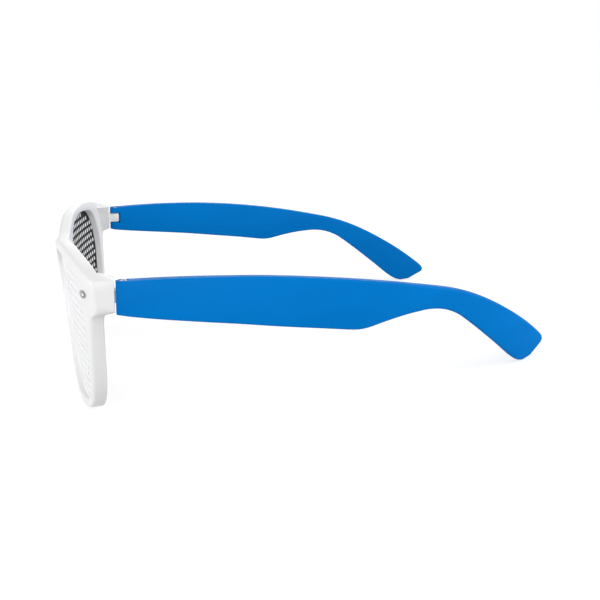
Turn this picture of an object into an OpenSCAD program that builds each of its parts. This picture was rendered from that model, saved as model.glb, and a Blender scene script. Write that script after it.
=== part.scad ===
// Pinhole glasses: a moulded white front with two perforated lens plates and
// two flat blue side arms that fold on vertical hinge screws.
// Millimetres. X runs across the face, the front looks toward -Y, the arms run
// toward +Y and Z is up. The glasses stand open on the floor at z = 0: the rim
// bottoms and the tips of both arms touch it. The origin lies on the floor under
// the middle of the whole part.

/* [Front] */
// width of the front over its two outer ends
front_width = 145.2; // [138:0.2:152]
// height of the front from the rim bottoms to the brow line
front_height = 49.5; // [46:0.5:53]
// radius on which the front wraps around the face
wrap_radius = 245; // [200:5:300]
// thickness of the rims from front face to back face
rim_depth = 4.4; // [4:0.1:5.2]
// rounding of the outer front corners seen from above
corner_round = 2.4; // [1.5:0.1:3]
// forward lean of the brow line when the glasses stand open
front_lean = 0.3; // [0:0.1:3]
// depth of the hollows beside the bridge ridge
bridge_hollow = 1.5; // [0.8:0.1:2]
// thickness of the lip left above the bridge hollows
bridge_lip = 1.1; // [0.8:0.1:1.6]

/* [Lenses] */
// distance from the front face to the face of the lens film
lens_set_back = 1.45; // [1.2:0.05:1.7]
// thickness of the printed film on the lens
film_thickness = 0.1; // [0.1:0.05:0.35]
// thickness of the perforated lens plate
plate_thickness = 0.2; // [0.15:0.05:1.2]
// how far the lens edge reaches into the rim groove
lens_edge_hold = 0.8; // [0.6:0.1:1]
// diameter of one pinhole
pinhole_diameter = 1.65; // [1.3:0.05:1.8]
// distance between neighbouring pinholes of one row
pinhole_pitch = 2.85; // [2.7:0.05:3.2]
// solid border kept between the outermost pinholes and the rim
pinhole_border = 0.35; // [0.2:0.05:1]

/* [Arms] */
// length of one arm from its front face to its tip
arm_length = 133; // [128:0.5:140]
// height of the arm at the hinge
arm_height = 8.95; // [8.4:0.05:9.4]
// thickness of the arm at the hinge
arm_hinge_thickness = 4.7; // [4.6:0.05:5]
// thickness of the arm behind its widest point
arm_thickness = 3.6; // [3.2:0.1:4]
// how far the outside of the arm stands in from the front's outer end
arm_step_in = 0.7; // [0.4:0.1:1.2]
// how far the arm bows outward from the hinge to its widest point
arm_bow = 3.5; // [2.5:0.1:4.5]
// length along the arm at which it is widest
arm_widest_at = 50; // [45:1:55]
// inward curve radius of the rear half of the arm
arm_rear_radius = 184; // [175:1:200]

/* [Hinges] */
// length of the front's end pieces from the front face back to the arms
end_length = 6.695; // [5.5:0.005:7.5]
// gap between the front's end faces and the arms
butt_gap = 0.35; // [0.3:0.05:0.6]
// distance of the hinge screw behind the arm's front face
screw_set_back = 2.2; // [2.1:0.05:2.3]
// distance of the hinge screw from the inside of the arm
screw_from_inside = 2.0; // [1.95:0.05:2.1]
// radius of the rounded end of the front's hinge tongue
tongue_round = 1.6; // [1.5:0.05:1.7]
// height of the hinge tongue
tongue_height = 3.3; // [3:0.1:3.6]
// height of the tongue's middle above the arm's middle
tongue_raise = 0.35; // [0.2:0.05:0.5]
// free play between the tongue and the slot in the arm
slot_play = 0.3; // [0.25:0.05:0.35]
// shank radius of the hinge screw
screw_radius = 0.7; // [0.6:0.05:0.8]
// head radius of the hinge screw
screw_head_radius = 1.25; // [1.2:0.05:1.3]
// head height of the hinge screw
screw_head_height = 0.8; // [0.6:0.1:0.9]
// running play around the screw in the tongue
screw_play = 0.05; // [0.03:0.01:0.08]

/* [Studs] */
// distance of the stud's middle from the front's outer end
stud_inset = 6.1; // [5:0.1:7]
// length of the stud
stud_length = 4.1; // [3.6:0.1:4.4]
// height of the stud face
stud_height = 2.2; // [1.8:0.1:2.4]
// how far the stud stands out of the front
stud_rise = 0.6; // [0.4:0.1:0.8]
// radius of the stud's pin
stud_pin_radius = 0.6; // [0.5:0.05:0.7]
// length of the stud's pin
stud_pin_length = 2; // [1.5:0.1:2.4]

/* [Hidden] */

$fn = 48;
wrap_facets = 240;
pinhole_facets = 16;
curve_steps = 2;
// extra length that carries every cut clear of the solid
over = 1;
// small space left between two pieces that lie on each other
seat_gap = 0.02;
half_width = front_width / 2;
arm_hinge_side = half_width - arm_step_in;
arm_widest_side = arm_hinge_side + arm_bow;
stud_side = half_width - stud_inset;
stud_level_share = 0.8093;
stud_level = stud_level_share * front_height;

// outline of one half of the front: shares of the half width and of the height
top_edge_shares = [
    [0.0000, 0.8949], [0.0579, 0.9010], [0.0909, 0.9030], [0.1253, 0.9111],
    [0.1928, 0.9354], [0.2603, 0.9576], [0.3278, 0.9798], [0.3953, 0.9899],
    [0.4752, 0.9980], [0.5647, 1.0000], [0.6309, 1.0000], [0.6983, 0.9899],
    [0.7658, 0.9798], [0.8333, 0.9636], [0.9008, 0.9414], [0.9532, 0.9172],
    [0.9821, 0.9010], [0.9966, 0.8869], [1.0000, 0.8667]
];
low_edge_shares = [
    [1.0000, 0.7455], [0.9945, 0.7212], [0.9807, 0.7051], [0.9601, 0.6889],
    [0.9463, 0.6646], [0.9353, 0.6263], [0.9229, 0.5677], [0.9091, 0.4970],
    [0.8953, 0.4283], [0.8829, 0.3616], [0.8650, 0.2869], [0.8416, 0.2121],
    [0.8058, 0.1394], [0.7755, 0.0990], [0.7328, 0.0636], [0.6598, 0.0273],
    [0.5978, 0.0111], [0.5303, 0.0000], [0.4628, 0.0030], [0.3953, 0.0182],
    [0.3388, 0.0404], [0.2920, 0.0727], [0.2410, 0.1313], [0.2107, 0.1758],
    [0.1873, 0.2121], [0.1584, 0.2747], [0.1391, 0.3313], [0.1185, 0.4020],
    [0.1006, 0.4727], [0.0820, 0.5455], [0.0675, 0.6101], [0.0565, 0.6343],
    [0.0399, 0.6465], [0.0207, 0.6515], [0.0000, 0.6525]
];
// outline of one lens opening, counter-clockwise from its outer side
lens_edge_shares = [
    [0.8781, 0.6162], [0.8747, 0.6788], [0.8678, 0.7313], [0.8581, 0.7737],
    [0.8430, 0.8121], [0.8223, 0.8525], [0.7961, 0.8848], [0.7617, 0.9071],
    [0.7107, 0.9212], [0.6653, 0.9293], [0.5978, 0.9394], [0.5303, 0.9414],
    [0.4628, 0.9394], [0.3994, 0.9313], [0.3416, 0.9131], [0.2934, 0.8929],
    [0.2521, 0.8707], [0.2135, 0.8404], [0.1860, 0.8061], [0.1680, 0.7677],
    [0.1570, 0.7253], [0.1501, 0.6707], [0.1488, 0.6020], [0.1529, 0.5313],
    [0.1612, 0.4646], [0.1777, 0.3980], [0.1970, 0.3374], [0.2176, 0.2788],
    [0.2383, 0.2343], [0.2658, 0.1939], [0.3058, 0.1495], [0.3512, 0.1131],
    [0.3994, 0.0869], [0.4628, 0.0687], [0.5303, 0.0636], [0.5978, 0.0687],
    [0.6556, 0.0838], [0.7107, 0.1071], [0.7521, 0.1394], [0.7824, 0.1798],
    [0.8072, 0.2303], [0.8292, 0.2909], [0.8457, 0.3616], [0.8581, 0.4323],
    [0.8691, 0.5010], [0.8760, 0.5616]
];
// side outline of one arm: shares of the arm length and of its hinge height
arm_top_shares = [
    [0.0000, 0.5006], [0.0276, 0.5229], [0.0855, 0.5788], [0.1637, 0.6235],
    [0.2622, 0.6346], [0.3223, 0.6123], [0.4050, 0.5453], [0.4908, 0.4335],
    [0.5810, 0.2715], [0.6772, 0.0480], [0.7208, -0.0804], [0.7524, -0.2089],
    [0.7840, -0.3709], [0.8133, -0.5497], [0.8441, -0.7620], [0.8765, -1.0134],
    [0.9111, -1.3095], [0.9479, -1.6670], [0.9765, -1.9799], [0.9938, -2.1922],
    [0.9998, -2.3486]
];
arm_low_shares = [
    [0.9960, -2.4603], [0.9825, -2.6168], [0.9659, -2.8067], [0.9539, -2.9240],
    [0.9404, -2.9799], [0.9283, -2.9743], [0.9163, -2.9184], [0.8983, -2.7620],
    [0.8569, -2.2704], [0.8238, -1.8905], [0.7930, -1.5441], [0.7629, -1.2201],
    [0.7344, -0.9408], [0.7088, -0.7732], [0.6847, -0.6894], [0.6569, -0.6670],
    [0.6329, -0.7061], [0.5968, -0.7955], [0.5554, -0.9408], [0.5253, -1.0693],
    [0.5088, -1.1251], [0.4953, -1.1475], [0.4742, -1.1307], [0.4088, -1.0358],
    [0.3246, -0.9296], [0.2434, -0.8179], [0.1629, -0.7285], [0.0847, -0.6391],
    [0.0261, -0.5553], [0.0000, -0.4994]
];

// one point of a smooth curve through four points
function between(a, b, c, d, u) =
    0.5 * (2 * b + (c - a) * u + (2 * a - 5 * b + 4 * c - d) * u * u
        + (3 * b - a - 3 * c + d) * u * u * u);
function smooth_open(p, n) = let (last = len(p) - 1) [
    for (i = [0 : last - 1], k = [0 : n - 1])
        between(p[max(i - 1, 0)], p[i], p[i + 1], p[min(i + 2, last)], k / n),
    p[last]
];
function smooth_closed(p, n) = let (m = len(p)) [
    for (i = [0 : m - 1], k = [0 : n - 1])
        between(p[(i + m - 1) % m], p[i], p[(i + 1) % m], p[(i + 2) % m], k / n)
];
function sized(shares, across, up) = [for (s = shares) [s[0] * across, s[1] * up]];
// a closed counter-clockwise outline moved outward by d
function grown(p, d) = let (m = len(p)) [
    for (i = [0 : m - 1])
        let (t = p[(i + 1) % m] - p[(i + m - 1) % m], l = norm(t))
            p[i] + d * [t[1], -t[0]] / l
];
function crossings(q, p) = let (m = len(p)) [
    for (i = [0 : m - 1])
        let (a = p[i], b = p[(i + 1) % m])
            if ((a[1] > q[1]) != (b[1] > q[1])
                && q[0] < a[0] + (b[0] - a[0]) * (q[1] - a[1]) / (b[1] - a[1])) 1
];
function inside(q, p) = len(crossings(q, p)) % 2 == 1;

half_outline = concat(
    smooth_open(sized(top_edge_shares, half_width, front_height), curve_steps),
    smooth_open(sized(low_edge_shares, half_width, front_height), curve_steps));
outline_last = len(half_outline) - 1;
front_outline = concat(half_outline,
    [for (i = [outline_last - 1 : -1 : 1]) [-half_outline[i][0], half_outline[i][1]]]);
lens_outline = smooth_closed(sized(lens_edge_shares, half_width, front_height), curve_steps);
arm_outline = concat(
    smooth_open(sized(arm_top_shares, arm_length, arm_height), curve_steps),
    smooth_open(sized(arm_low_shares, arm_length, arm_height), curve_steps));

// the pinholes stand in staggered rows
row_pitch = pinhole_pitch * sin(60);
lens_middle_shares = [0.513, 0.5];
lens_middle = [lens_middle_shares[0] * half_width, lens_middle_shares[1] * front_height];
lens_reach_share = 0.4;
pinhole_reach = ceil(lens_reach_share * half_width / row_pitch);
pinhole_field = grown(lens_outline, -(pinhole_diameter / 2 + pinhole_border));
pinholes = [
    for (row = [-pinhole_reach : pinhole_reach], column = [-pinhole_reach : pinhole_reach])
        let (q = lens_middle
            + [(column + (row % 2 == 0 ? 0 : 0.5)) * pinhole_pitch, row * row_pitch])
            if (inside(q, pinhole_field)) q
];

// depths behind the front face
plate_front = lens_set_back + film_thickness + seat_gap;
plate_back = plate_front + plate_thickness;
groove_play = 0.05;
groove_edge_play = 0.1;

// the hinge moves with the front, and the arms slope until their tips meet the floor
hinge_level_share = 0.787;
hinge_z = hinge_level_share * front_height;
arm_slope = min([for (p = arm_outline) if (norm(p) > hinge_z)
    asin(hinge_z / norm(p)) - atan2(-p[1], p[0])]);

// where the leaning front stands
brow_middle = top_edge_shares[0][1] * front_height;
rim_bottom_side = low_edge_shares[17][0] * half_width;
rim_bottom_depth = wrap_radius - sqrt(pow(wrap_radius, 2) - pow(rim_bottom_side, 2));
butt_depth = wrap_radius - sqrt(pow(wrap_radius, 2) - pow(half_width, 2)) + end_length;
overall_depth = butt_depth
    + max([for (p = arm_outline) p[0] * cos(arm_slope) + p[1] * sin(arm_slope)]);
front_place = [0, brow_middle * sin(front_lean) - overall_depth / 2,
    -rim_bottom_depth * sin(front_lean)];

// where the arms stand
hinge_y = butt_depth - overall_depth / 2;
arm_half = arm_height / 2;
arm_inside = arm_hinge_side - arm_hinge_thickness;
screw_side = arm_inside + screw_from_inside;
front_outer_radius = (pow(arm_widest_at, 2) + pow(arm_bow, 2)) / (2 * arm_bow);
inner_bulge = arm_widest_side - arm_thickness - arm_inside;
front_inner_radius = (pow(arm_widest_at, 2) + pow(inner_bulge, 2)) / (2 * inner_bulge);
ear_round = screw_set_back;
slot_round = tongue_round + slot_play;
slot_bottom = tongue_raise - tongue_height / 2 - slot_play;
slot_top = tongue_raise + tongue_height / 2 + slot_play;
screw_fit = 0.03;
screw_recess = 0.2;
head_play = 0.1;
driver_slot = 0.3;
screw_seat = arm_half - screw_head_height - head_play;
stud_play = 0.04;

// the end pieces of the front, in the arm's own frame
end_low_step = 0.6;
end_top_step = 0.5;
end_low = end_low_step - arm_half;
end_top = arm_half + end_top_step;
end_edge = 0.25;
end_inner_wall = 0.7;
end_inner_side = arm_inside - end_inner_wall;
end_blend_width = 4.5;
end_blend_side = end_inner_side - end_blend_width;
end_blend_depth = end_length - end_inner_wall;
end_root_depth = end_length;
end_outer_root = end_length - rim_depth / 3;
end_outer_step = rim_depth / 2;
tongue_trim = 0.1;
end_butt_side = arm_hinge_side + tongue_trim;

// depth that takes in the whole wrapped front
front_reach = butt_depth + rim_depth;

// a flat outline in the XZ plane, made deep enough to pass through the front
module prism(points) {
    translate([0, front_reach, 0]) rotate([90, 0, 0]) linear_extrude(front_reach + over)
        polygon(points);
}

// the wrapped layer between two depths behind the front face
module wrap_layer(near_depth, far_depth) {
    translate([0, wrap_radius, -over]) difference() {
        cylinder(h = front_height + 2 * over, r = wrap_radius - near_depth, $fn = wrap_facets);
        translate([0, 0, -over])
            cylinder(h = front_height + 4 * over, r = wrap_radius - far_depth, $fn = wrap_facets);
    }
}

// removes the sharp outer front corners and puts a round edge there
corner_side = half_width - corner_round;
corner_depth = wrap_radius - sqrt(pow(wrap_radius - corner_round, 2) - pow(corner_side, 2));
corner_angle = asin(corner_side / (wrap_radius - corner_round));
module corner_waste() {
    reach = 3 * corner_round;
    translate([0, 0, -over]) linear_extrude(front_height + 2 * over) difference() {
        polygon([[corner_side, corner_depth],
            [corner_side + reach * sin(corner_angle), corner_depth - reach * cos(corner_angle)],
            [half_width + reach, corner_depth - reach],
            [half_width + reach, corner_depth]]);
        translate([corner_side, corner_depth]) circle(corner_round);
    }
}

module both_sides() {
    children();
    mirror([1, 0, 0]) children();
}

module front_stand() {
    translate(front_place) rotate([front_lean, 0, 0]) children();
}

module arm_stand() {
    translate([0, hinge_y, hinge_z]) rotate([-arm_slope, 0, 0]) children();
}

// a spot on the wrapped face: local -Y points out of the face
module on_face(side, level) {
    translate([0, wrap_radius, level]) rotate([0, 0, asin(side / wrap_radius)])
        translate([0, -wrap_radius, 0]) children();
}

// one hollow beside the bridge ridge: shallow at the ridge, steep at the rim
hollow_inner = 0.7;
hollow_width = 5;
hollow_slant = 12;
hollow_bottom = 30;
hollow_shares = [[0, -1], [0, 0], [0.24, 0.12], [0.62, 0.55], [0.84, 0.95], [0.94, 1],
    [1, 0.85], [1.05, -1]];
module bridge_hollow_cut() {
    height = brow_middle - bridge_lip - hollow_bottom;
    translate([hollow_inner, 0, hollow_bottom]) rotate([0, hollow_slant, 0])
        linear_extrude(height / cos(hollow_slant))
            polygon([for (p = hollow_shares) [p[0] * hollow_width, p[1] * bridge_hollow]]);
}

// moulded nose rest: a pad raised on the back of the rim
nose_rise = 1.7;
nose_root = 0.6;
nose_rest_shares = [
    [0.0900, 0.5480], [0.1060, 0.4800], [0.1250, 0.4060], [0.1450, 0.3440],
    [0.1680, 0.2900], [0.1850, 0.2720], [0.1930, 0.2900], [0.1800, 0.3380],
    [0.1620, 0.3920], [0.1480, 0.4540], [0.1400, 0.5150], [0.1290, 0.5680],
    [0.1120, 0.5820]
];
module nose_rest() {
    intersection() {
        prism(smooth_closed(sized(nose_rest_shares, half_width, front_height), curve_steps));
        wrap_layer(rim_depth - nose_root, rim_depth + nose_rise);
    }
}

module front_shell() {
    difference() {
        union() {
            intersection() {
                prism(front_outline);
                wrap_layer(0, rim_depth);
            }
            both_sides() nose_rest();
        }
        both_sides() corner_waste();
        both_sides() bridge_hollow_cut();
    }
}

// end piece that carries the hinge tongue
module end_piece() {
    translate([0, 0, end_low]) linear_extrude(end_top - end_low)
        polygon([[half_width, -end_outer_root], [half_width, -end_outer_step],
            [half_width - end_edge, -butt_gap - 3 * end_edge], [end_butt_side, -butt_gap],
            [end_inner_side, -butt_gap], [end_inner_side - 2 * end_edge, -butt_gap - 2 * end_edge],
            [end_blend_side, -end_blend_depth], [end_inner_side, -end_root_depth]]);
}

module hinge_tongue() {
    root = -butt_gap - over;
    translate([0, 0, tongue_raise - tongue_height / 2]) linear_extrude(tongue_height) {
        translate([screw_side, screw_set_back]) circle(tongue_round);
        translate([screw_side - tongue_round, root])
            square([2 * tongue_round - tongue_trim, screw_set_back - root]);
    }
}

module lens_opening_cut() {
    prism(lens_outline);
    intersection() {
        prism(grown(lens_outline, lens_edge_hold + groove_edge_play));
        wrap_layer(lens_set_back - groove_play, plate_back + groove_play);
    }
}

module screw_bore(radius) {
    translate([screw_side, screw_set_back, -arm_height]) cylinder(h = 2 * arm_height, r = radius);
}

module stud_shape() {
    // the pointed oval shared by two circles
    half_long = stud_length / 2;
    half_high = stud_height / 2;
    radius = (pow(half_long, 2) + pow(half_high, 2)) / (2 * half_high);
    intersection() {
        translate([0, radius - half_high]) circle(radius);
        translate([0, half_high - radius]) circle(radius);
    }
}

module front_frame() {
    color([0.93, 0.93, 0.93]) difference() {
        union() {
            front_stand() front_shell();
            both_sides() arm_stand() {
                end_piece();
                hinge_tongue();
            }
        }
        front_stand() both_sides() {
            lens_opening_cut();
            on_face(stud_side, stud_level) rotate([-90, 0, 0])
                translate([0, 0, -over])
                    cylinder(h = over + stud_pin_length + stud_play, r = stud_pin_radius + stud_play);
        }
        both_sides() arm_stand() screw_bore(screw_radius + screw_play);
    }
}

module pinhole_layer(near_depth, far_depth) {
    front_stand() intersection() {
        translate([0, front_reach, 0]) rotate([90, 0, 0]) linear_extrude(front_reach + over)
            difference() {
                polygon(grown(lens_outline, lens_edge_hold));
                for (q = pinholes) translate(q) circle(d = pinhole_diameter, $fn = pinhole_facets);
            }
        wrap_layer(near_depth, far_depth);
    }
}

module left_lens() color([0.03, 0.03, 0.03]) pinhole_layer(plate_front, plate_back);
module right_lens() mirror([1, 0, 0]) left_lens();
module left_lens_film()
    color([0.97, 0.97, 0.98]) pinhole_layer(lens_set_back, lens_set_back + film_thickness);
module right_lens_film() mirror([1, 0, 0]) left_lens_film();

// the arm seen from above: two arcs that meet at its widest point
plan_room = 60;
module arm_plan() {
    difference() {
        intersection() {
            translate([arm_widest_side - front_outer_radius, arm_widest_at])
                circle(front_outer_radius, $fn = wrap_facets);
            translate([arm_widest_side - plan_room, 0]) square([plan_room + over, arm_widest_at]);
        }
        translate([arm_widest_side - arm_thickness - front_inner_radius, arm_widest_at])
            circle(front_inner_radius, $fn = wrap_facets);
    }
    difference() {
        intersection() {
            translate([arm_widest_side - arm_rear_radius, arm_widest_at])
                circle(arm_rear_radius, $fn = wrap_facets);
            translate([arm_widest_side - plan_room, arm_widest_at])
                square([plan_room + over, arm_length]);
        }
        translate([arm_widest_side - arm_rear_radius, arm_widest_at])
            circle(arm_rear_radius - arm_thickness, $fn = wrap_facets);
    }
}

// plan waste that rounds the ears around the screw on their inner front side
module ear_waste() {
    ear_room = 2 * ear_round;
    translate([0, 0, -arm_height]) linear_extrude(2 * arm_height) difference() {
        translate([screw_side - ear_room, -over]) square([ear_room, screw_set_back + over]);
        translate([screw_side, screw_set_back]) circle(ear_round);
    }
}

module hinge_slot() {
    reach = 5 * slot_round;
    translate([screw_side + slot_round - reach, -over, slot_bottom])
        cube([reach, screw_set_back + slot_round + over, slot_top - slot_bottom]);
}

module screw_head_seat() {
    translate([screw_side, screw_set_back, screw_seat - seat_gap])
        cylinder(h = arm_half, r = screw_head_radius + head_play);
}

module left_temple() {
    color([0, 0.46, 0.78]) arm_stand() difference() {
        intersection() {
            translate([arm_widest_side + over - plan_room, 0, 0]) rotate([90, 0, 90])
                linear_extrude(plan_room) polygon(arm_outline);
            translate([0, 0, -4 * arm_height]) linear_extrude(6 * arm_height) arm_plan();
        }
        ear_waste();
        hinge_slot();
        screw_bore(screw_radius + screw_fit);
        screw_head_seat();
    }
}
module right_temple() mirror([1, 0, 0]) left_temple();

module left_hinge_screw() {
    foot = screw_recess - arm_half;
    color([0.75, 0.75, 0.77]) arm_stand() translate([screw_side, screw_set_back, 0])
        difference() {
            union() {
                translate([0, 0, foot]) cylinder(h = screw_seat - foot, r = screw_radius);
                translate([0, 0, screw_seat]) cylinder(h = screw_head_height, r = screw_head_radius);
            }
            translate([-2 * screw_head_radius, -driver_slot / 2,
                    screw_seat + screw_head_height - driver_slot])
                cube([4 * screw_head_radius, driver_slot, 2 * driver_slot]);
        }
}
module right_hinge_screw() mirror([1, 0, 0]) left_hinge_screw();

module left_corner_stud() {
    color([0.7, 0.7, 0.72]) front_stand() on_face(stud_side, stud_level) rotate([-90, 0, 0]) {
        translate([0, 0, -stud_rise - seat_gap]) linear_extrude(stud_rise) stud_shape();
        translate([0, 0, -2 * seat_gap]) cylinder(h = stud_pin_length, r = stud_pin_radius);
    }
}
module right_corner_stud() mirror([1, 0, 0]) left_corner_stud();

front_frame();
left_lens();
right_lens();
left_lens_film();
right_lens_film();
left_temple();
right_temple();
left_hinge_screw();
right_hinge_screw();
left_corner_stud();
right_corner_stud();
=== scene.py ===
# %% [markdown]
# # Pinhole glasses, piece by piece
# These glasses have no optical glass. Two opaque plates full of small holes sit in a thick white
# moulded front, and two flat blue side arms fold on hinge screws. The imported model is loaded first,
# because it gives the exact place and size of everything. Its lens plates, their white faces and
# the hinge screws stay and only get a finish. The moulded pieces are modelled again here, with the
# soft edges that a mould gives.

import math

import bmesh
import bpy
from mathutils import Matrix, Vector


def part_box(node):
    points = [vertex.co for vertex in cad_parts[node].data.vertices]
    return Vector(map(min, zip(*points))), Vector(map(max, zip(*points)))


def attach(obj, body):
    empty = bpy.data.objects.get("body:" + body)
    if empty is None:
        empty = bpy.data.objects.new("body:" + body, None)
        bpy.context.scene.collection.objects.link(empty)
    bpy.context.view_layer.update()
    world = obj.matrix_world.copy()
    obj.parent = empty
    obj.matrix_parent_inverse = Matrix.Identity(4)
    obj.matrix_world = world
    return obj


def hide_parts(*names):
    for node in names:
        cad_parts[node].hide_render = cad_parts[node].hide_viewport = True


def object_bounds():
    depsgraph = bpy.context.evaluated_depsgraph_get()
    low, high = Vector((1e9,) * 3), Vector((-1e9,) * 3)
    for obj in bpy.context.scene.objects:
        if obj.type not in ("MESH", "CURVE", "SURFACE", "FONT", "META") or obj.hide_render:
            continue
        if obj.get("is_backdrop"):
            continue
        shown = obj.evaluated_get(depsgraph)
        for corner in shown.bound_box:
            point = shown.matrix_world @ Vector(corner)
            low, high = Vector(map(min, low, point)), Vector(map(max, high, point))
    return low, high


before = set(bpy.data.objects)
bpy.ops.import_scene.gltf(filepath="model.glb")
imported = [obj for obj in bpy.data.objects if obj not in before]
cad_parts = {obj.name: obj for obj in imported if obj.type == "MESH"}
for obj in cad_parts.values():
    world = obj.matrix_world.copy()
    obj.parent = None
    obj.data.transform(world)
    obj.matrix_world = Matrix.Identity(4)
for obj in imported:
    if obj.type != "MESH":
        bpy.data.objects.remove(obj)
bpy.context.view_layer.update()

# %% [markdown]
# ## The camera
# A photograph's viewpoint is a place, a direction and a lens. They could be set by eye, but the
# corners of the glasses were matched to the picture here, which gave one turned camera. It stands
# about a quarter of a metre from the nearer arm and looks a little down on it.

# %% Camera at the photograph's viewpoint
camera_data = bpy.data.cameras.new("side_camera")
camera = bpy.data.objects.new("side_camera", camera_data)
bpy.context.scene.collection.objects.link(camera)
camera_data.sensor_width = 36.0
camera_data.lens = 51.238
camera_data.shift_x = 0.00065
camera_data.shift_y = -0.00265
camera_data.clip_start = 0.01
camera.matrix_world = Matrix(
    (
        (0.22041102, -0.23927243, 0.94560440, 0.29315576),
        (0.97266353, 0.12657611, -0.19468986, -0.05301650),
        (-0.07310701, 0.96266671, 0.26063034, 0.09372213),
        (0.0, 0.0, 0.0, 1.0),
    )
)
bpy.context.scene.camera = camera
print("camera stands at", [round(v, 3) for v in camera.matrix_world.translation])

# %% [markdown]
# ## Small helpers for work by hand
# A modeller works on what is selected. In a script that has to be done with care: the loaded pieces
# are still selected, so each new piece starts from an empty selection, and faces or edges are
# picked by where they are or which way they face.

# %% Helpers that select and shape
MM = 0.001


def start_clean():
    """Leaves edit mode and selects nothing."""
    if bpy.context.object and bpy.context.object.mode != "OBJECT":
        bpy.ops.object.mode_set(mode="OBJECT")
    bpy.ops.object.select_all(action="DESELECT")


def take(piece):
    """Makes this piece the only selected and active one."""
    start_clean()
    piece.select_set(True)
    bpy.context.view_layer.objects.active = piece


def name_it(name):
    """Names the primitive that was just added."""
    piece = bpy.context.object
    piece.name = name
    piece.data.name = name
    return piece


def pick(piece, kind, wanted):
    """In edit mode, selects the faces or edges for which wanted() is true and counts them."""
    if piece.mode != "EDIT":
        take(piece)
        bpy.ops.object.mode_set(mode="EDIT")
    bpy.ops.mesh.select_mode(type="FACE" if kind == "faces" else "EDGE")
    bpy.ops.mesh.select_all(action="DESELECT")
    shape = bmesh.from_edit_mesh(piece.data)
    chosen = [item for item in getattr(shape, kind) if wanted(item)]
    for item in chosen:
        item.select_set(True)
    shape.select_flush_mode()
    bmesh.update_edit_mesh(piece.data)
    return len(chosen)


def edit_all(piece):
    """Opens the piece in edit mode with everything selected."""
    take(piece)
    bpy.ops.object.mode_set(mode="EDIT")
    bpy.ops.mesh.select_all(action="SELECT")


def turn_faces_out(piece):
    """Turns all of the piece's faces outward and leaves edit mode."""
    edit_all(piece)
    bpy.ops.mesh.normals_make_consistent(inside=False)
    bpy.ops.object.mode_set(mode="OBJECT")


# %% [markdown]
# Solids are joined or cut with a Boolean modifier that is applied at once, and the right side's
# pieces are mirrored copies of the left side's.

# %% Helpers that join, cut, smooth and mirror
def apply_modifier(piece, modifier):
    take(piece)
    bpy.ops.object.modifier_apply(modifier=modifier.name)


def combine(piece, other, operation):
    """Cuts the other shape out of the piece or joins it on, and throws the other shape away."""
    both = piece.modifiers.new("combine", "BOOLEAN")
    both.operation = operation
    both.solver = "EXACT"
    both.object = other
    apply_modifier(piece, both)
    bpy.data.objects.remove(other, do_unlink=True)


def cut_away(piece, cutter):
    combine(piece, cutter, "DIFFERENCE")


def join_on(piece, addition):
    combine(piece, addition, "UNION")


def smooth_faces(piece, sharp_from=32):
    """Shades the piece smooth, except where faces meet at more than this many degrees."""
    take(piece)
    bpy.ops.object.shade_smooth_by_angle(angle=math.radians(sharp_from))


def mirrored_copy(piece, name):
    """A copy for the other side of the face, with a mesh of its own and its normals set right."""
    take(piece)
    bpy.ops.object.duplicate(linked=False)
    copy = name_it(name)
    copy.scale.x = -1
    bpy.ops.object.transform_apply(location=True, rotation=True, scale=True)
    turn_faces_out(copy)
    return copy


# %% [markdown]
# ## Curves from a few measured points
# The outlines were measured as short lists of points. A smooth curve through the points gives as
# many places on it as a mesh needs, and the same curve formula was used for the solid model, so
# both follow one line.

# %% Smooth curves through measured points
def through(a, b, c, d, u):
    """A point between b and c on a smooth curve, with a and d on either side."""
    return 0.5 * (
        2 * b + (c - a) * u + (2 * a - 5 * b + 4 * c - d) * u * u + (3 * b - a - 3 * c + d) * u**3
    )


def smooth_line(points, closed=False, steps=10):
    p = [Vector(q) for q in points]
    n = len(p)
    spans = n if closed else n - 1
    if closed:
        corner = lambda i: p[i % n]
    else:
        corner = lambda i: p[min(max(i, 0), n - 1)]
    line = [
        through(corner(i - 1), corner(i), corner(i + 1), corner(i + 2), k / steps)
        for i in range(spans)
        for k in range(steps)
    ]
    return line + [p[0] if closed else p[-1]]


def lengths_along(line):
    run = [0.0]
    for a, b in zip(line, line[1:]):
        run.append(run[-1] + (b - a).length)
    return run


def place_on(line, run, distance):
    """The point that lies this far along the line."""
    distance = min(max(distance, 0.0), run[-1])
    i = max(k for k in range(len(run) - 1) if run[k] <= distance)
    return line[i].lerp(line[i + 1], (distance - run[i]) / (run[i + 1] - run[i] or 1.0))


def nearest_length(line, run, spot):
    return run[min(range(len(line)), key=lambda i: (line[i] - Vector(spot)).length)]


# %% [markdown]
# ## The side arms
# Each arm is one flat moulded bar. From the side it is straight, swells a little, narrows behind
# the ear and bends down to a rounded tip. From above it bows outward and then curves in behind the
# head. It could be cut from a block, but a grid is easier to steer: one row of stations runs from
# the hinge to the tip, each with a top, a middle and a bottom point, and the sheet is then
# extruded to its thickness.

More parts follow.
